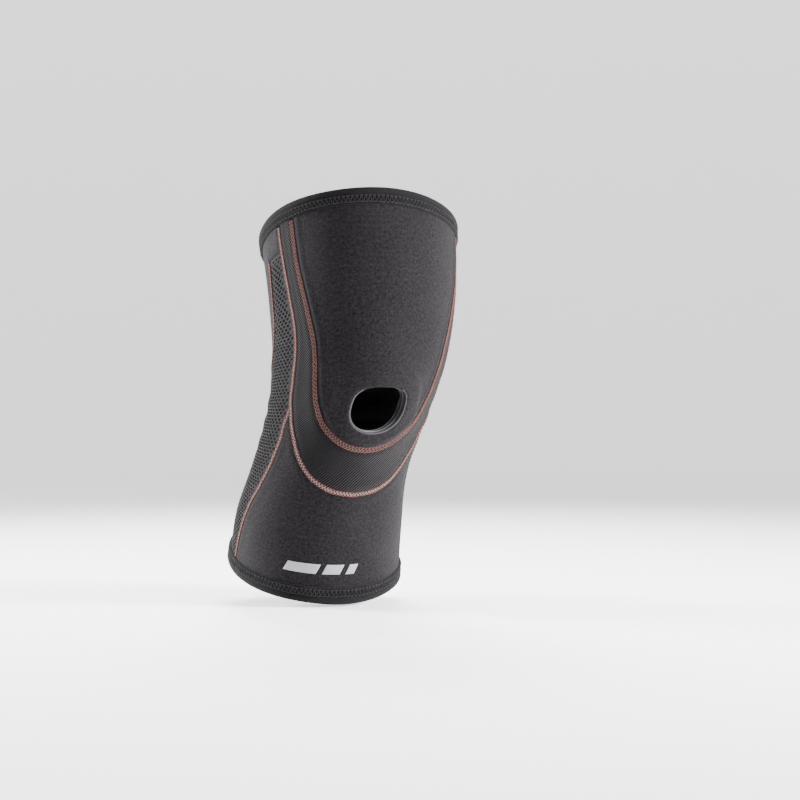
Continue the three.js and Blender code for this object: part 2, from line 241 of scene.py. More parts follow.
LINE_A = respace(cut(both_sides(SEAM_A)), 300)
LINE_B = respace(cut(both_sides(SEAM_B)), 300)
AT_JUNCTION = int(np.argmin(np.abs(LINE_B[:150, 1] - JUNCTION)))
AT_ARM = int(np.argmin(np.abs(LINE_B[:150, 1] - ARM_TOP)))
from_band = (-LINE_B[AT_JUNCTION, 0], LINE_B[AT_JUNCTION, 1])
LINE_C = respace(cut(spline(mirror([from_band] + SEAM_C))), 100)
half_d = spline(mirror([(91, LINE_B[AT_ARM, 1])] + SEAM_D))
LINE_D = respace(np.concatenate([half_d, wrap(half_d[::-1][1:])]), 240)


def distance_to(points, outline, closed=True):
    """Distance in flat millimetres from each point to an outline."""
    p = flat(points).reshape(-1, 2)
    q = flat(outline)
    a = q
    b = np.roll(q, -1, axis=0)
    if not closed:
        a, b = a[:-1], b[:-1]
    ab = b - a
    size = np.maximum(np.sum(ab * ab, axis=1), 1e-9)
    best = np.full(len(p), 1e9)
    for start in range(0, len(p), 4000):
        block = p[start:start + 4000, None, :]
        t = np.clip(np.sum((block - a) * ab, axis=2) / size, 0, 1)
        near = a + ab * t[..., None]
        best[start:start + 4000] = np.min(np.linalg.norm(block - near, axis=2), axis=1)
    return best.reshape(np.asarray(points).shape[:-1])


# ---- mesh making ------------------------------------------------------------
def new_object(name, verts, faces, uvs, materials, index=None, smooth=True):
    mesh = bpy.data.meshes.new(name)
    mesh.from_pydata((np.asarray(verts) * MM).tolist(), [], faces)
    layer = mesh.uv_layers.new(name="UVMap")
    loops = np.empty(len(mesh.loops), dtype=np.int32)
    mesh.loops.foreach_get("vertex_index", loops)
    layer.data.foreach_set("uv", (np.asarray(uvs)[loops] * 0.01).astype(np.float32).ravel())
    for m in materials:
        mesh.materials.append(m)
    if index is not None:
        mesh.polygons.foreach_set("material_index", np.asarray(index, dtype=np.int32))
    mesh.polygons.foreach_set("use_smooth", np.full(len(mesh.polygons), smooth))
    mesh.validate()
    mesh.update()
    obj = bpy.data.objects.new(name, mesh)
    bpy.context.scene.collection.objects.link(obj)
    return obj


def grid_quads(rows, cols, ring, base=0, flip=False):
    wide = cols if ring else cols - 1
    r, c = np.meshgrid(np.arange(rows - 1), np.arange(wide), indexing="ij")
    n = (c + 1) % cols
    quads = np.stack([r * cols + c, r * cols + n, (r + 1) * cols + n, (r + 1) * cols + c], axis=-1)
    quads = quads.reshape(-1, 4) + base
    return quads[:, ::-1] if flip else quads


def slab_faces(rows, cols, ring):
    """Faces of a slab: its outer side, its inner side and the rim between them."""
    size = rows * cols
    rim = []
    for c in range(cols if ring else cols - 1):
        n = (c + 1) % cols
        e = (rows - 1) * cols
        rim.append([c, size + c, size + n, n])
        rim.append([e + c, e + n, size + e + n, size + e + c])
    if not ring:
        for r in range(rows - 1):
            a, b = r * cols, (r + 1) * cols
            rim.append([a, b, size + b, size + a])
            rim.append([a + cols - 1, size + a + cols - 1, size + b + cols - 1, b + cols - 1])
    return [grid_quads(rows, cols, ring), grid_quads(rows, cols, ring, size, True), np.array(rim)]


def sheet_mesh(name, grid, outline, ring, mats, thick=SHEET, dip=0.95, profile=None, top=0.0,
               reach=1.0, puff=0.35, highlight_rim_width=0.0):
    """A thick sheet from a grid of (phi, v), its edges rolled into the seams."""
    rows, cols = grid.shape[:2]
    phi, v = grid[..., 0], grid[..., 1]
    d = distance_to(grid, outline)
    out = top - dip * np.exp(-(d / reach) ** 1.5) + puff * bell(d - 3.2 - reach, 2.6)
    tiny = np.sin(phi * 1.9 + v * 2.1) * 0.07 + np.sin(v * 2.9 - phi * 1.1) * 0.05
    out = out + tiny * bell(d - 2, 3)
    if profile is not None:
        out = out + profile(phi, v)
    outer = lifted(phi, v, out).reshape(-1, 3)
    inner = lifted(phi, v, np.full(phi.shape, top - thick)).reshape(-1, 3)
    quads = slab_faces(rows, cols, ring)
    index = [np.full(len(q), k) for k, q in zip((0, 1, 2), quads)]
    # Faces within this width of the kneecap opening get material 3, a lighter colour that is a painted
    # highlight on the opening's edge.
    if highlight_rim_width:
        painted_rim_highlight = distance_to(grid, HOLE_LOOP).reshape(-1)[quads[0][:, 0]] < highlight_rim_width
        index[0][painted_rim_highlight] = 3
    index = np.concatenate(index)
    uv = flat(grid).reshape(-1, 2)
    return new_object(name, np.concatenate([outer, inner]), np.concatenate(quads).tolist(),
                      np.concatenate([uv, uv]), mats, index)


def crowded(steps):
    """Steps from 0 to 1, closer together at both ends."""
    t = np.linspace(0, 1, steps)
    return 0.62 * t + 0.38 * (0.5 - 0.5 * np.cos(math.pi * t))


def ruled(low, high, steps):
    t = crowded(steps)[:, None, None]
    return low[None] * (1 - t) + high[None] * t


def coons(low, high, left, right):
    s = np.linspace(0, 1, len(low))[None, :, None]
    t = np.linspace(0, 1, len(left))[:, None, None]
    up = low[None] * (1 - t) + high[None] * t
    over = left[:, None] * (1 - s) + right[:, None] * s
    base = (low[0] * (1 - s) + low[-1] * s) * (1 - t) + (high[0] * (1 - s) + high[-1] * s) * t
    return up + over - base


def straight(p, q, steps):
    t = np.linspace(0, 1, steps + 1)[:, None]
    return np.asarray(p) * (1 - t) + np.asarray(q) * t


def shrink(outline, gap=0.01):
    """Moves a closed outline inwards by a small gap."""
    f = flat(outline)
    tangent = np.roll(f, -1, axis=0) - np.roll(f, 1, axis=0)
    tangent /= np.maximum(np.linalg.norm(tangent, axis=1, keepdims=True), 1e-9)
    area = np.sum(f[:, 0] * np.roll(f[:, 1], -1) - np.roll(f[:, 0], -1) * f[:, 1])
    n = np.stack([-tangent[:, 1], tangent[:, 0]], axis=1) * np.sign(area) * gap
    return outline + np.stack([n[:, 0] / per_degree(outline[:, 1]), n[:, 1]], axis=1)


# ---- materials --------------------------------------------------------------
def node(tree, kind, **values):
    n = tree.nodes.new(kind)
    for key, value in values.items():
        if key in n.inputs.keys():
            n.inputs[key].default_value = value
        else:
            setattr(n, key, value)
    return n


class Look:
    """A small helper that wires one fabric material."""

    def __init__(self, name, colour, rough, sheen=0.0):
        self.mat = bpy.data.materials.new(name)
        self.mat.use_nodes = True
        self.tree = self.mat.node_tree
        self.shader = self.tree.nodes["Principled BSDF"]
        self.shader.inputs["Base Color"].default_value = (*colour, 1)
        self.shader.inputs["Roughness"].default_value = rough
        self.shader.inputs["Sheen Weight"].default_value = sheen
        self.shader.inputs["Sheen Roughness"].default_value = 0.45
        self.shader.inputs["Specular IOR Level"].default_value = 0.05
        self.colour = colour
        self.uv = node(self.tree, "ShaderNodeUVMap", uv_map="UVMap")
        self.height = None

    def link(self, a, b):
        self.tree.links.new(a, b)

    def noise(self, scale, detail=2.0, rough=0.5, stretch=None):
        n = node(self.tree, "ShaderNodeTexNoise", Scale=scale, Detail=detail, Roughness=rough)
        if stretch:
            m = node(self.tree, "ShaderNodeMapping")
            m.inputs["Scale"].default_value = (*stretch, 1)
            self.link(self.uv.outputs[0], m.inputs[0])
            self.link(m.outputs[0], n.inputs["Vector"])
        else:
            self.link(self.uv.outputs[0], n.inputs["Vector"])
        return n.outputs[0]

    def wave(self, scale, turn, distort=0.0):
        m = node(self.tree, "ShaderNodeMapping")
        m.inputs["Rotation"].default_value = (0, 0, math.radians(turn))
        w = node(self.tree, "ShaderNodeTexWave", Scale=scale, Distortion=distort)
        w.inputs["Detail Scale"].default_value = 3
        self.link(self.uv.outputs[0], m.inputs[0])
        self.link(m.outputs[0], w.inputs["Vector"])
        return w.outputs["Fac"]

    def weave(self, scale):
        a = self.wave(scale, 0)
        b = self.wave(scale, 90)
        return self.maths("MULTIPLY", a, b)

    def maths(self, operation, a, b):
        m = node(self.tree, "ShaderNodeMath", operation=operation)
        for i, x in enumerate((a, b)):
            if isinstance(x, (int, float)):
                m.inputs[i].default_value = x
            else:
                self.link(x, m.inputs[i])
        return m.outputs[0]

    def tint(self, layers):
        """Base colour = colour times a sum of (value, weight) layers."""
        total = 1.0
        for value, weight in layers:
            part = self.maths("MULTIPLY", self.maths("SUBTRACT", value, 0.5), weight)
            total = self.maths("ADD", part, total)
        ramp = node(self.tree, "ShaderNodeMix", data_type="RGBA", blend_type="MULTIPLY")
        ramp.inputs["Factor"].default_value = 1
        ramp.inputs[6].default_value = (*self.colour, 1)
        grey = node(self.tree, "ShaderNodeCombineColor")
        for i in range(3):
            self.link(total, grey.inputs[i])
        self.link(grey.outputs[0], ramp.inputs[7])
        self.link(ramp.outputs[2], self.shader.inputs["Base Color"])
        return self

    def bump(self, layers, strength=0.6):
        total = 0.0
        for value, weight in layers:
            total = self.maths("ADD", self.maths("MULTIPLY", value, weight), total)
        b = node(self.tree, "ShaderNodeBump", Strength=strength, Distance=0.001)
        self.link(total, b.inputs["Height"])
        self.link(b.outputs[0], self.shader.inputs["Normal"])
        return self

    def roughness(self, value, low, high):
        m = node(self.tree, "ShaderNodeMapRange")
        m.inputs["To Min"].default_value = low
        m.inputs["To Max"].default_value = high
        self.link(value, m.inputs["Value"])
        self.link(m.outputs[0], self.shader.inputs["Roughness"])
        return self


def brushed(name, colour, sheen=0.35):
    k = Look(name, colour, 0.9, sheen)
    speck = k.noise(95, 3, 0.65)
    fleck = k.noise(52, 2, 0.6)
    nap = k.noise(30, 3, 0.6, (1, 2.2))
    cloud = k.noise(3.2, 3)
    loops = k.wave(42, 0, 1.2)
    k.tint([(speck, 3.0), (fleck, 2.2), (nap, 1.8), (cloud, 0.6), (loops, 0.12)])
    k.bump([(speck, 0.35), (nap, 0.30), (loops, 0.12)], 0.55)
    return k.roughness(nap, 0.78, 0.98).mat


def twill(name, colour):
    k = Look(name, colour, 0.85, 0.05)
    rib = k.wave(21, 48, 0.35)
    cross = k.wave(33, -42, 0.2)
    dots = k.maths("MULTIPLY", rib, cross)
    speck = k.noise(90, 2)
    cloud = k.noise(4, 2)
    k.tint([(rib, 0.5), (dots, 1.5), (speck, 0.9), (cloud, 0.35)])
    k.bump([(rib, 0.5), (dots, 0.35), (speck, 0.12)], 0.75)
    return k.roughness(rib, 0.95, 0.72).mat


def knit(name, colour, scale=60, sheen=0.25):
    k = Look(name, colour, 0.88, sheen)
    loops = k.weave(scale)
    speck = k.noise(110, 2)
    cloud = k.noise(5, 2)
    k.tint([(loops, 0.5), (speck, 0.8), (cloud, 0.35)])
    k.bump([(loops, 0.3), (speck, 0.2)], 0.5)
    return k.roughness(speck, 0.75, 0.95).mat


def foam(name, colour):
    k = Look(name, colour, 0.8, 0.1)
    cells = k.noise(160, 4, 0.7)
    cloud = k.noise(8, 2)
    k.tint([(cells, 1.1), (cloud, 0.3)])
    k.bump([(cells, 0.4)], 0.5)
    return k.roughness(cells, 0.65, 0.95).mat


def thread(name, colour, sheen=0.3):
    k = Look(name, colour, 0.6, sheen)
    twist = k.wave(70, 35, 0.1)
    speck = k.noise(60, 2)
    k.tint([(twist, 0.5), (speck, 0.5)])
    k.bump([(twist, 0.25)], 0.6)
    return k.roughness(twist, 0.5, 0.75).mat


def film(name, colour):
    k = Look(name, colour, 0.5, 0.0)
    grain = k.noise(70, 3)
    cloud = k.noise(9, 3)
    k.tint([(grain, 0.25), (cloud, 0.15)])
    k.bump([(grain, 0.12)], 0.4)
    return k.roughness(cloud, 0.45, 0.7).mat


M_FACE = brushed("neoprene_face", (0.0072, 0.0064, 0.0074), 0.05)
M_LINING = knit("lining_jersey", (0.015, 0.014, 0.016), 70)
# This lighter foam colour is used for the cut edges along the seams, and as a painted highlight on the
# rolled edge round the kneecap opening.
M_CUT_EDGE_AND_RIM_HIGHLIGHT = foam("cut_edge_and_painted_rim_highlight", (0.034, 0.032, 0.035))
M_FOAM = foam("neoprene_core", (0.010, 0.0095, 0.011))
M_RIB = twill("twill_knit", (0.0105, 0.0095, 0.0108))
M_MESH = knit("air_mesh", (0.012, 0.011, 0.0123), 95, 0.05)
# Near-black, darker than the face and the knit: painted shade seen through the holes, used on the sheet
# behind the perforated knit and on the hole walls.
M_HOLE_SHADE = foam("mesh_backing_painted_shade", (0.003, 0.003, 0.0032))
M_TAPE = knit("binding_tape", (0.0062, 0.0056, 0.0064), 55, 0.05)
M_CORAL = thread("coral_thread", (0.090, 0.035, 0.029), 0.05)
M_CORAL_LOW = thread("coral_looper", (0.080, 0.050, 0.047), 0.05)
# A lighter pink-white copy of the looper thread: a painted highlight of seam ridges lit from the side, used
# on seams B, C and D.
M_LOOPER_HIGHLIGHT = thread("pink_looper_painted_highlight", (0.20, 0.145, 0.14), 0.05)
M_GREY = thread("grey_thread", (0.013, 0.012, 0.0135), 0.05)
M_FILM = film("transfer_print", (0.22, 0.215, 0.225))


# ---- camera and lights ------------------------------------------------------
def make_camera():
    turn = math.radians(CAMERA_TURN)
    cam = bpy.data.cameras.new("camera")
    cam.lens = 80
    cam.sensor_width = 36
    obj = bpy.data.objects.new("camera", cam)
    bpy.context.scene.collection.objects.link(obj)
    side, up = CAMERA_AIM
    aim = (side * math.cos(turn), -side * math.sin(turn))
    obj.location = (aim[0] - CAMERA_DISTANCE * math.sin(turn), aim[1] - CAMERA_DISTANCE * math.cos(turn), up)
    obj.rotation_euler = (math.pi / 2, 0, -turn)
    bpy.context.scene.camera = obj


def area_light(name, azimuth, height, distance, size, power):
    """A soft panel aimed at the part, at an azimuth from the camera's own direction."""
    turn = math.radians(azimuth + CAMERA_TURN)
    light = bpy.data.lights.new(name, "AREA")
    light.shape = "RECTANGLE"
    light.size, light.size_y = size
    light.energy = power
    light.spread = math.radians(70)
    obj = bpy.data.objects.new(name, light)
    bpy.context.scene.collection.objects.link(obj)
    obj.visible_camera = False
    at = np.array([-math.sin(turn) * distance, -math.cos(turn) * distance, height])
    obj.location = at
    aim = np.array([0, 0.01, 0.0]) - at
    flat_run = math.hypot(aim[0], aim[1])
    obj.rotation_euler = (math.pi / 2 + math.atan2(aim[2], flat_run), 0, math.atan2(-aim[0], aim[1]))


def stage_material(name, glow):
    pale = bpy.data.materials.new(name)
    pale.use_nodes = True
    shader = pale.node_tree.nodes["Principled BSDF"]
    shader.inputs["Base Color"].default_value = (0.9, 0.9, 0.9, 1)
    shader.inputs["Roughness"].default_value = 0.9
    shader.inputs["Specular IOR Level"].default_value = 0.1
    shader.inputs["Emission Color"].default_value = (1, 1, 1, 1)
    shader.inputs["Emission Strength"].default_value = glow
    return pale


def make_stage():
    """A round pale floor that curves up into a wall on every side."""
    low = CAD_BOX[0][2] - FLOOR_GAP
    cove = [(FLOOR_REACH + COVE_RADIUS * math.sin(a), low + COVE_RADIUS - COVE_RADIUS * math.cos(a))
            for a in np.linspace(0.08, math.pi / 2, 14)]
    wall = (FLOOR_REACH + COVE_RADIUS, low + WALL_HEIGHT)
    profile = [(0.6, low), (2.0, low), (FLOOR_REACH, low)] + cove + [wall]
    turns = np.linspace(0, 2 * math.pi, STAGE_SIDES, endpoint=False)
    verts = [(0, 0, low / MM)]
    for reach, up in profile:
        verts += [(reach * math.cos(a) / MM, reach * math.sin(a) / MM, up / MM) for a in turns]
    faces = [[0, 1 + i, 1 + (i + 1) % STAGE_SIDES] for i in range(STAGE_SIDES)]
    rings = grid_quads(len(profile), STAGE_SIDES, True, base=1, flip=True)
    faces += rings.tolist()
    pale = stage_material("pale_floor", FLOOR_GLOW)
    new_object("floor", verts, faces, np.array(verts)[:, :2], [pale])
    world = bpy.data.worlds.new("studio")
    world.use_nodes = True
    background = world.node_tree.nodes["Background"]
    background.inputs["Color"].default_value = (1, 1, 1, 1)
    background.inputs["Strength"].default_value = WORLD_GLOW
    bpy.context.scene.world = world


make_camera()
make_stage()
area_light("left_bank", 106, 0.42, 1.7, (0.6, 0.5), 24)
area_light("right_bank", -76, 0.42, 1.7, (0.6, 0.5), 31)
area_light("rear_bank", 176, 1.3, 1.5, (1.0, 0.7), 22)


# ---- pieces -----------------------------------------------------------------
def across_knee(obj):
    """Fabric that crosses the knee, over the thigh above and the calf below; its placement is only baked
    into the mesh.
    """
    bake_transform(obj)


def bends(obj, *nodes):
    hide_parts(*nodes)
    across_knee(obj)


def rides(obj, body, *nodes):
    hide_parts(*nodes)
    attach(obj, body)


def slab(name, phi, v, top, low, mats, ring=False):
    """A closed piece between two heights over a grid of (phi, v)."""
    outer = lifted(phi, v, top).reshape(-1, 3)
    inner = lifted(phi, v, low).reshape(-1, 3)
    uv = flat(np.stack([phi, v], axis=-1)).reshape(-1, 2)
    faces = np.concatenate(slab_faces(*phi.shape, ring)).tolist()
    return new_object(name, np.concatenate([outer, inner]), faces, np.concatenate([uv, uv]), mats)


def hole_edge(turn, grow=0.0):
    """The kneecap opening's edge, flatter above than below, grown by some millimetres."""
    c, s = np.cos(turn), np.sin(turn)
    power = np.where(s > 0, 3.0, 2.1)
    reach = (np.abs(c) ** power + np.abs(s) ** power) ** (-1 / power)
    wide = HOLE["half"] + grow / per_degree(HOLE["v"])
    tall = np.where(s > 0, HOLE["up"], HOLE["down"]) + grow
    return np.stack([HOLE["phi"] + wide * reach * c, HOLE["v"] + tall * reach * s], axis=-1)


HOLE_LOOP = hole_edge(np.linspace(0, 2 * math.pi, HOLE_STEPS, endpoint=False))


def pad_shows(phi, v):
    """The foam ring behind the opening lifts the face a little."""
    d = distance_to(np.stack([phi, v], axis=-1), HOLE_LOOP)
    return 1.1 / (1 + np.exp((d - 13.5) / 1.3)) - 0.9 * np.exp(-(d / 1.2) ** 1.5)


def front_thigh():
    seam = LINE_A
    hem = straight(seam[-1], seam[0], 130)
    loop = np.concatenate([seam, hem[1:-1]])
    outer = shrink(loop)
    run = flat(loop) - flat(np.array([[HOLE["phi"], HOLE["v"]]]))
    inner = hole_edge(np.arctan2(run[:, 1], run[:, 0]))
    t = crowded(76)[:, None, None]
    grid = outer[None] * (1 - t) + inner[None] * t
    # Material 3, over a 0.8 mm width, is the painted highlight along the edge of the opening.
    obj = sheet_mesh("front_thigh_panel_cloth", grid, loop, True, [M_FACE, M_LINING, M_FOAM, M_CUT_EDGE_AND_RIM_HIGHLIGHT],
                     profile=pad_shows, dip=1.5, reach=1.7, puff=0.55, highlight_rim_width=0.8)
    bends(obj, "front_thigh_panel")


def band():
    low, high = LINE_B, LINE_A
    loop = np.concatenate([low, high[::-1]])
    moved = shrink(loop)
    grid = ruled(moved[:len(low)], moved[len(low):][::-1], 26)
    obj = sheet_mesh("patella_band_cloth", grid, loop, False, [M_RIB, M_LINING, M_CUT_EDGE_AND_RIM_HIGHLIGHT])
    bends(obj, "patella_band")


def shin():
    top = LINE_B[AT_JUNCTION:301 - AT_JUNCTION]
    left = LINE_C
    right = mirror(left)
    low = straight(left[-1], right[-1], len(top) - 1)
    loop = np.concatenate([left, low[1:-1], right[::-1], top[1:-1][::-1]])
    moved = shrink(loop)
    n, m = len(left), len(low) - 2
    new_left = moved[:n]
    new_low = moved[n - 1:n + m + 1]
    new_right = moved[n + m:n + m + n][::-1]
    new_top = np.concatenate([moved[:1], moved[n + m + n:][::-1], new_right[:1]])
    grid = coons(new_low, new_top, new_left[::-1], new_right[::-1])
    obj = sheet_mesh("shin_panel_cloth", grid, loop, False, [M_FACE, M_LINING, M_CUT_EDGE_AND_RIM_HIGHLIGHT])
    bends(obj, "shin_panel")


def mesh_outline():
    side = np.concatenate([LINE_B[AT_ARM:AT_JUNCTION], LINE_C])
    other = wrap(side[::-1])
    hem = straight(side[-1], other[0], 150)
    return np.concatenate([side, hem[1:-1], other]), len(side)


# The sheet behind the perforated knit; its near-black face is painted shade in the holes.
def mesh_backing_painted_shade():
    outer, side = mesh_outline()
    n = len(outer)
    marks = [0, 86, 154, 240]
    inner = np.concatenate([
        respace(LINE_D[marks[0]:marks[1] + 1], side - 1)[:-1],
        respace(LINE_D[marks[1]:marks[2] + 1], n - 2 * side + 1)[:-1],
        respace(LINE_D[marks[2]:marks[3] + 1], side - 1)])
    loop = np.concatenate([outer, LINE_D[::-1]])
    full = shrink(np.concatenate([outer, inner[::-1]]))
    grid = ruled(full[n:][::-1], full[:n], 60)
    obj = sheet_mesh("back_mesh_backing", grid, loop, False, [M_HOLE_SHADE, M_LINING, M_HOLE_SHADE],
                     thick=2.4, dip=0.3, top=-1.0)
    return obj, loop


# the perforated knit: cell pitch in degrees and in millimetres, unperforated border
CELL_PHI = 4.6
CELL_V = 2.15
CLOSED_BORDER = 2.6


def inside(points, loop):
    """Which points lie inside a closed outline."""
    x, y = points[:, 0], points[:, 1]
    odd = np.zeros(len(x), dtype=bool)
    a, b = loop, np.roll(loop, -1, axis=0)
    for (ax, ay), (bx, by) in zip(a, b):
        if ay == by:
            continue
        hit = (ay > y) != (by > y)
        odd ^= hit & (x < (bx - ax) * (y - ay) / (by - ay) + ax)
    return odd


def nearest_on(points, loop):
    """Moves each point to the nearest place on an outline."""
    p, q = flat(points), flat(loop)
    out = points.copy()
    for i in range(len(points)):
        k = int(np.argmin(np.sum((q - p[i]) ** 2, axis=1)))
        best = None
        for j in (k - 1, k):
            a, b = q[j % len(q)], q[(j + 1) % len(q)]
            t = np.clip(np.dot(p[i] - a, b - a) / max(np.dot(b - a, b - a), 1e-9), 0, 1)
            gap = np.sum((a + (b - a) * t - p[i]) ** 2)
            if best is None or gap < best[0]:
                best = (gap, loop[j % len(q)] * (1 - t) + loop[(j + 1) % len(q)] * t)
        out[i] = best[1]
    return out


def cell_centres(loop):
    rows = []
    for r, v in enumerate(np.arange(BOTTOM, ARM_TOP + 4, CELL_V)):
        phis = np.arange(-296, -62, CELL_PHI) + (r % 2) * CELL_PHI / 2
        rows.append(np.stack([phis, np.full(len(phis), v)], axis=-1))
    centres = np.concatenate(rows)
    return centres[inside(centres, loop)]


def cell_corners(centres, loop):
    """Corners that neighbouring cells share, and each cell's six of them."""
    turns = np.radians(np.arange(30, 390, 60))
    hexagon = np.stack([np.cos(turns) * CELL_PHI / 1.732, np.sin(turns) * CELL_V / 1.5], axis=-1)
    corners = (centres[:, None] + hexagon[None]).reshape(-1, 2)
    keys = np.round(corners / [CELL_PHI / 4, CELL_V / 6]).astype(int)
    _, first, back = np.unique(keys, axis=0, return_index=True, return_inverse=True)
    shared = corners[first]
    stray = ~inside(shared, loop)
    shared[stray] = nearest_on(shared[stray], shrink(loop, 0.1))
    return shared, back.reshape(-1, 6), turns


def cell_faces(back, open_cell, n_shared):
    """Yarn round each cell, and the wall of its hole or a cap where it is closed."""
    faces, index = [], []
    for i in range(len(back)):
        a = n_shared + 6 * i
        b = a + 6 * len(back)
        for k in range(6):
            m = (k + 1) % 6
            faces.append([back[i, k], back[i, m], a + m, a + k])
            index.append(0)
            # Hole walls take material 1, the near-black painted shade inside the holes.
            if open_cell[i]:
                faces.append([a + k, a + m, b + m, b + k])
                index.append(1)
        if not open_cell[i]:
            faces.append([a + k for k in range(6)])
            index.append(0)
    return faces, index


def honeycomb(loop):
    """Perforated knit: six-sided cells in offset rows, each with its hole."""
    centres = cell_centres(loop)
    shared, back, turns = cell_corners(centres, loop)
    edge = distance_to(centres, loop)
    open_cell = edge > CLOSED_BORDER
    size = np.where(open_cell, 0.61, 0.30)[:, None, None] + RNG.normal(0, 0.03, (len(centres), 1, 1))
    jitter = RNG.normal(0, 0.05, (len(centres), 1, 2))
    mid = shared[back].mean(axis=1, keepdims=True)
    rim = mid + (shared[back] - mid) * size + jitter
    rim = rim - 0.12 * (rim - mid) * (np.abs(np.cos(3 * turns))[None, :, None] - 0.5)
    shared_d = distance_to(shared, loop)
    yarn = 0.05 - 0.7 * np.exp(-(shared_d / 1.0) ** 1.5) + RNG.normal(0, 0.03, len(shared))
    top = lifted(shared[:, 0], shared[:, 1], yarn)
    ring = rim.reshape(-1, 2)
    sunk = np.where(np.repeat(open_cell, 6), -0.2, 0.0) - 0.6 * np.exp(-(np.repeat(edge, 6) / 1.0) ** 1.5)
    ring_top = lifted(ring[:, 0], ring[:, 1], sunk)
    ring_low = lifted(ring[:, 0], ring[:, 1], np.full(len(ring), -1.05))
    faces, index = cell_faces(back, open_cell, len(shared))
    uv = np.concatenate([flat(shared), flat(ring), flat(ring)])
    verts = np.concatenate([top, ring_top, ring_low])
    return new_object("back_mesh_face", verts, faces, uv, [M_MESH, M_HOLE_SHADE], index)


def back_mesh():
    backing, loop = mesh_backing_painted_shade()
    bends(backing, "back_mesh_panel")
    comb = honeycomb(loop)
    across_knee(comb)


def rear_thigh():
    wing = straight(LINE_B[AT_ARM], LINE_D[0], 10)
    low = np.concatenate([wing[:-1], LINE_D, wrap(wing[::-1])[1:]])
    side = LINE_B[:AT_ARM + 1]
    high = straight(side[0], wrap(side[:1])[0], len(low) - 1)
    right = side[::-1]
    left = wrap(right)
    loop = np.concatenate([low[::-1], right[1:], high[1:-1], left[1:][::-1]])
    moved = shrink(loop)
    n, k = len(low), len(right)
    new_low = moved[:n]
    new_right = moved[n - 1:n - 1 + k]
    new_high = moved[n - 2 + k:n - 2 + k + n]
    new_left = np.concatenate([moved[:1], moved[2 * n + k - 2:][::-1]])
    new_left = respace(np.concatenate([new_left, new_high[-1:]]), k - 1)
    grid = coons(new_low, new_high[::-1], new_left, new_right)
    steps = np.linspace(0, len(grid) - 1, 60)
    whole = np.floor(np.minimum(steps, len(grid) - 2)).astype(int)
    part = (steps - whole)[:, None, None]
    grid = grid[whole] * (1 - part) + grid[whole + 1] * part
    obj = sheet_mesh("rear_thigh_panel_cloth", grid, loop, False, [M_FACE, M_LINING, M_CUT_EDGE_AND_RIM_HIGHLIGHT])
    bends(obj, "rear_thigh_panel")


def pad():
    """The foam ring behind the opening, rounded off at both edges."""
    turns = np.linspace(0, 2 * math.pi, HOLE_STEPS, endpoint=False)
    grow = np.linspace(PAD_BORDER, 0.2, 16)
    grid = np.stack([hole_edge(turns, g) for g in grow])
    near_edge = np.minimum(grow + 0.6, PAD_BORDER + 0.5 - grow) / 2.2
    wall = PAD_WALL * np.sqrt(np.clip(np.minimum(1, near_edge), 0.12, 1))
    top = np.full(grid.shape[:2], -SHEET - 0.3)
    obj = slab("patella_pad_foam", grid[..., 0], grid[..., 1], top, top - wall[:, None], [M_FOAM], ring=True)
    bends(obj, "patella_pad")


def ring_piece(name, v0, upward, section, mats, steps=420):
    section = np.asarray(section, float)
    phi = np.linspace(-180, 180, steps, endpoint=False)
    pp = np.repeat(phi[:, None], len(section), axis=1)
    rise = np.repeat(section[None, :, 1], steps, axis=0)
    out = np.repeat(section[None, :, 0], steps, axis=0)
    wave = 0.10 * np.sin(np.radians(pp * 41)) + 0.08 * np.sin(np.radians(pp * 17 + 30))
    low = np.clip(-rise / BIND_REACH, 0, 1)
    out = out + wave * low * (out > 0)
    vv = v0 + upward * (rise + 0.25 * np.sin(np.radians(pp * 5 + 60)) * (1 - low))
    pts = lifted(pp, vv, out).reshape(-1, 3)
    along = np.concatenate([[0], np.cumsum(np.linalg.norm(np.diff(section, axis=0), axis=1))])
    uv = np.stack([pp * 1.15, np.repeat(along[None], steps, axis=0)], axis=-1).reshape(-1, 2)
    n = len(section)
    faces = []
    for i in range(steps):
        j = (i + 1) % steps
        for k in range(n):
            m = (k + 1) % n
            quad = [i * n + k, j * n + k, j * n + m, i * n + m]
            faces.append(quad if upward > 0 else quad[::-1])
    return new_object(name, pts, faces, uv, mats)


def binding(name, v0, upward, body, cad):
    """A tape folded over a hem, drawn as (outwards, upwards) from the hem's edge."""
    bend = np.radians(np.arange(-62, 91, 17))
    roll = [(0.75 + 1.15 * math.cos(a), -1.55 + 1.95 * math.sin(a)) for a in bend]
    crown = [(-0.6, 0.5), (-2.4, 0.55), (-4.0, 0.3), (-4.9, -0.4), (-5.2, -1.6)]
    outside = [(0.25, -9.5), (0.75, -9.6), (1.15, -9.2), (1.2, -8.0), (1.05, -6.5),
               (1.15, -5.0), (0.85, -3.9)]
    skin_side = [(-5.1, -4), (-5.0, -7), (-4.0, -7), (-4.0, -1.6), (0.25, -1.6)]
    section = outside + roll + crown + skin_side
    rides(ring_piece(name, v0, upward, section, [M_TAPE]), body, cad)


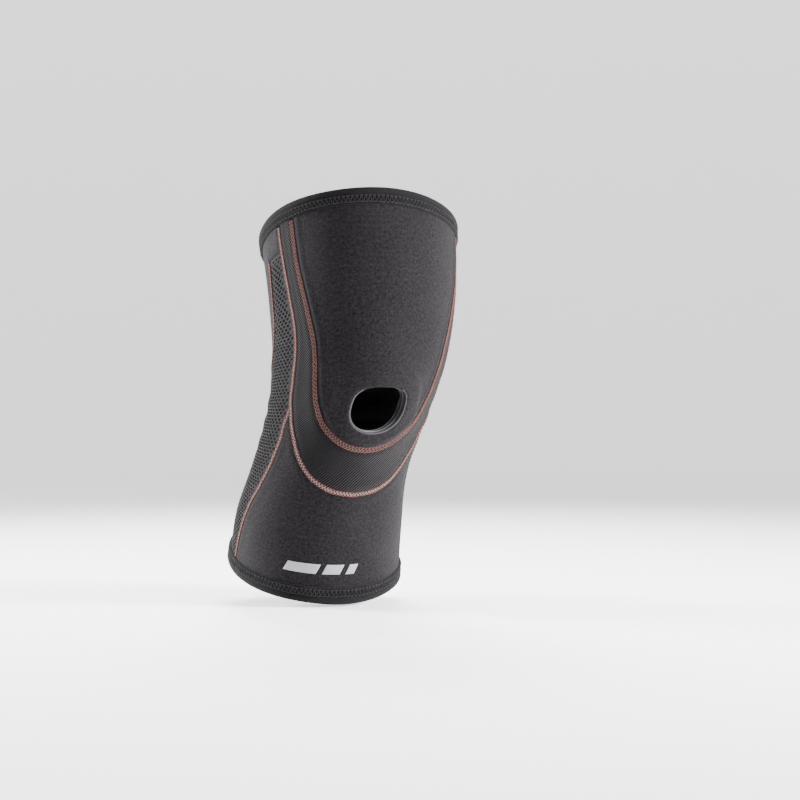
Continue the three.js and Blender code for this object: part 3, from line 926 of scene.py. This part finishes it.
# ---- thread -----------------------------------------------------------------
def thread_mesh(centre, up, radius, sides=6, ends=0.35):
    """centre and up: stitches x points x 3. Returns vertices and faces."""
    count, length = centre.shape[:2]
    tangent = np.gradient(centre, axis=1)
    tangent /= np.maximum(np.linalg.norm(tangent, axis=2, keepdims=True), 1e-9)
    side = np.cross(tangent, up)
    side /= np.maximum(np.linalg.norm(side, axis=2, keepdims=True), 1e-9)
    lift = np.cross(side, tangent)
    t = np.linspace(-1, 1, length)
    r = radius * (ends + (1 - ends) * np.sqrt(np.clip(1 - t ** 4, 0, 1)))
    turn = np.linspace(0, 2 * math.pi, sides, endpoint=False)
    ring = (side[:, :, None] * np.cos(turn)[None, None, :, None]
            + lift[:, :, None] * np.sin(turn)[None, None, :, None])
    verts = centre[:, :, None] + ring * r[None, :, None, None]
    base = (np.arange(count) * length * sides)[:, None, None, None]
    p, s = np.meshgrid(np.arange(length - 1), np.arange(sides), indexing="ij")
    m = (s + 1) % sides
    quad = np.stack([p * sides + s, p * sides + m, (p + 1) * sides + m, (p + 1) * sides + s], axis=-1)
    faces = (base + quad[None]).reshape(-1, 4).tolist()
    for i in range(count):
        start = i * length * sides
        faces.append([start + k for k in reversed(range(sides))])
        faces.append([start + (length - 1) * sides + k for k in range(sides)])
    return verts.reshape(-1, 3), faces


def along(path, spots):
    f = flat(path)
    s = np.concatenate([[0], np.cumsum(np.linalg.norm(np.diff(f, axis=0), axis=1))])
    tangent = np.gradient(f, axis=0)
    tangent /= np.maximum(np.linalg.norm(tangent, axis=1, keepdims=True), 1e-9)
    point = np.stack([np.interp(spots, s, path[:, 0]), np.interp(spots, s, path[:, 1])], axis=-1)
    way = np.stack([np.interp(spots, s, tangent[:, 0]), np.interp(spots, s, tangent[:, 1])], axis=-1)
    return point, way


def path_length(path):
    return float(np.sum(np.linalg.norm(np.diff(flat(path), axis=0), axis=1)))


def offset_points(path, spots, shift):
    point, way = along(path, spots)
    side = np.stack([-way[..., 1], way[..., 0]], axis=-1)
    step = side * np.asarray(shift)[..., None]
    return point + np.stack([step[..., 0] / per_degree(point[..., 1]), step[..., 1]], axis=-1)


def cover_stitch(name, path, width, pitch, mats, lift=0.15, fat=0.42):
    """Two needle rows with a looper thread going to and fro between them."""
    total = path_length(path)
    count = int(total / pitch)
    pitch = total / count
    verts, faces, index, uvs = [], [], [], []
    t = np.linspace(0, 1, 6)

    def lay(spots, shift, hump, radius, slot):
        base = sum(len(v) for v in verts)
        pv = offset_points(path, np.minimum(spots, total), shift)
        v, f = thread_mesh(lifted(pv[..., 0], pv[..., 1], hump), normal(pv[..., 0], pv[..., 1]), radius)
        verts.append(v)
        faces.extend([x + base for x in q] for q in f)
        index.extend([slot] * len(f))
        uvs.append(np.stack([np.repeat(spots.ravel(), 6), np.tile(np.arange(6) * 0.5, spots.size)], axis=-1))

    spots = (np.arange(count) + 0.06)[:, None] * pitch + t[None] * pitch * 0.88
    for row in (-1, 1):
        shift = row * width / 2 + RNG.normal(0, 0.06, (count, 1)) + 0 * spots
        hump = lift + 0.28 * np.sin(math.pi * t)[None] + RNG.normal(0, 0.03, (count, 1))
        lay(spots, shift, hump, fat, 0)
    legs = np.arange(count * 2)
    spots = (legs[:, None] + t[None]) * pitch / 2
    sign = np.where(legs % 2 == 0, -1.0, 1.0)[:, None]
    shift = sign * (1 - 2 * t[None]) * width / 2 * 0.94
    hump = lift - 0.05 + 0.16 * np.sin(math.pi * t)[None] + 0 * spots
    lay(spots, shift, hump, fat * 0.72, 1)
    return new_object(name, np.concatenate(verts), faces, np.concatenate(uvs), mats, index)


def between_hems(path):
    keep = (path[:, 1] < TOP - BIND_REACH - 0.3) & (path[:, 1] > BOTTOM + BIND_REACH + 0.3)
    return path[keep]


def threads():
    coral = [M_CORAL, M_CORAL_LOW]
    # Seams B, C and D take the lighter looper, a painted highlight.
    highlight_pink = [M_CORAL, M_LOOPER_HIGHLIGHT]
    bends(cover_stitch("thread_band_inner", between_hems(LINE_A), 2.5, 2.5, coral, fat=0.5),
          "stitch_band_inner")
    bends(cover_stitch("thread_band_outer", between_hems(LINE_B), 2.1, 2.4, highlight_pink, fat=0.46),
          "stitch_band_outer")
    low = between_hems(LINE_C[3:])
    bends(cover_stitch("thread_shin_lateral", low, 2.1, 2.4, highlight_pink, fat=0.46), "stitch_shin_lateral")
    bends(cover_stitch("thread_shin_medial", mirror(low), 2.1, 2.4, highlight_pink, fat=0.46), "stitch_shin_medial")
    bends(cover_stitch("thread_rear_thigh", LINE_D, 2.1, 2.4, highlight_pink, fat=0.46), "stitch_rear_thigh")
    grey = [M_GREY, M_GREY]
    phi = np.linspace(-180, 180, 721)
    seam_tapes()
    for name, v0, up, body, cad in (("thread_hem_thigh", TOP, 1, "thigh_part", "stitch_hem_thigh"),
                                    ("thread_hem_calf", BOTTOM, -1, "calf_part", "stitch_hem_calf")):
        path = np.stack([phi, np.full(len(phi), v0 - up * HEM_STITCH)], axis=-1)
        rides(cover_stitch(name, path, 3.8, 3.0, grey, lift=1.3, fat=0.42), body, cad)


def seam_tape(name, path, half=3.6, steps=200):
    """A thin tape bonded over a seam on the skin side."""
    across = np.array([half, half - 0.5, 0, 0.5 - half, -half])
    spots = np.repeat(np.linspace(0, path_length(path), steps)[:, None], len(across), axis=1)
    grid = offset_points(path, spots, np.repeat(across[None], steps, axis=0))
    phi, v = grid[..., 0], np.clip(grid[..., 1], BOTTOM + 2, TOP - 2)
    proud = np.repeat(np.array([[0.02, 0.2, 0.24, 0.2, 0.02]]), steps, axis=0)
    obj = slab(name, phi, v, np.full(phi.shape, 0.3 - SHEET), -SHEET - proud, [M_LINING])
    across_knee(obj)


def seam_tapes():
    wing = straight(LINE_B[AT_ARM], LINE_D[0], 10)
    rear = np.concatenate([wing[:-1], LINE_D, wrap(wing[::-1])[1:]])
    seam_tape("tape_band_inner", LINE_A)
    seam_tape("tape_band_outer", LINE_B)
    seam_tape("tape_shin_lateral", LINE_C)
    seam_tape("tape_shin_medial", mirror(LINE_C))
    seam_tape("tape_rear_thigh", rear)


def transfer(name, phi0, length, cad):
    """One plain slanted bar of printed film on the shin."""
    along_bar, up_bar = np.meshgrid(np.linspace(0, 1, 40), np.linspace(0, 1, 14))
    phi = phi0 + length * along_bar + BAR_SLANT * up_bar
    grid = np.stack([phi, MARK_V + MARK_TALL * up_bar], axis=-1)
    outline = np.concatenate([grid[0], grid[1:-1, -1], grid[-1][::-1], grid[1:-1, 0][::-1]])
    top = 0.32 - 0.2 * np.exp(-(distance_to(grid, outline) / 0.5) ** 2)
    obj = slab(name, phi, grid[..., 1], top, np.full(top.shape, 0.02), [M_FILM])
    bends(obj, cad)


front_thigh()
band()
shin()
back_mesh()
rear_thigh()
pad()
binding("binding_thigh_tape", TOP, 1, "thigh_part", "binding_thigh")
binding("binding_calf_tape", BOTTOM, -1, "calf_part", "binding_calf")
threads()
transfer("transfer_long", -40, 22, "transfer_bar_long")
transfer("transfer_middle", -14, 12, "transfer_bar_middle")
transfer("transfer_short", 2, 6, "transfer_bar_short")
